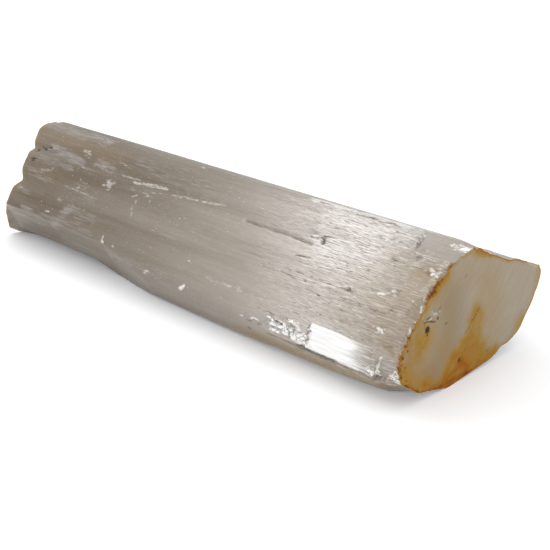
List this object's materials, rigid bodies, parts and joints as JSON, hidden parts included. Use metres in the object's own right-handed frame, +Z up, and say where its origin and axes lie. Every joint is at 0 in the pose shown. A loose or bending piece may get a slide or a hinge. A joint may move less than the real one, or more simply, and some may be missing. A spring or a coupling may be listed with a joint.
{
  "type": "selenite column",
  "caption": "Rough log of fibrous selenite that lies on its flat underside, with a broad silky face, a weathered end and a rust-stained sawn end.",
  "frame": {"origin": "middle of the box's floor, under the log as it lies on its underside", "axes": "+X along the fibres towards the sawn end, +Z up from the flat underside, and the broad silky face looks to -Y and up"},
  "size_m": [0.325, 0.1134, 0.0663],
  "materials": {
    "selenite": "milky grey-beige gypsum with silky fibres along its length, white bruises, and rust stains on the sawn end"
  },
  "bodies": {
    "root": {"selenite_column": "selenite"}
  },
  "joints": []
}
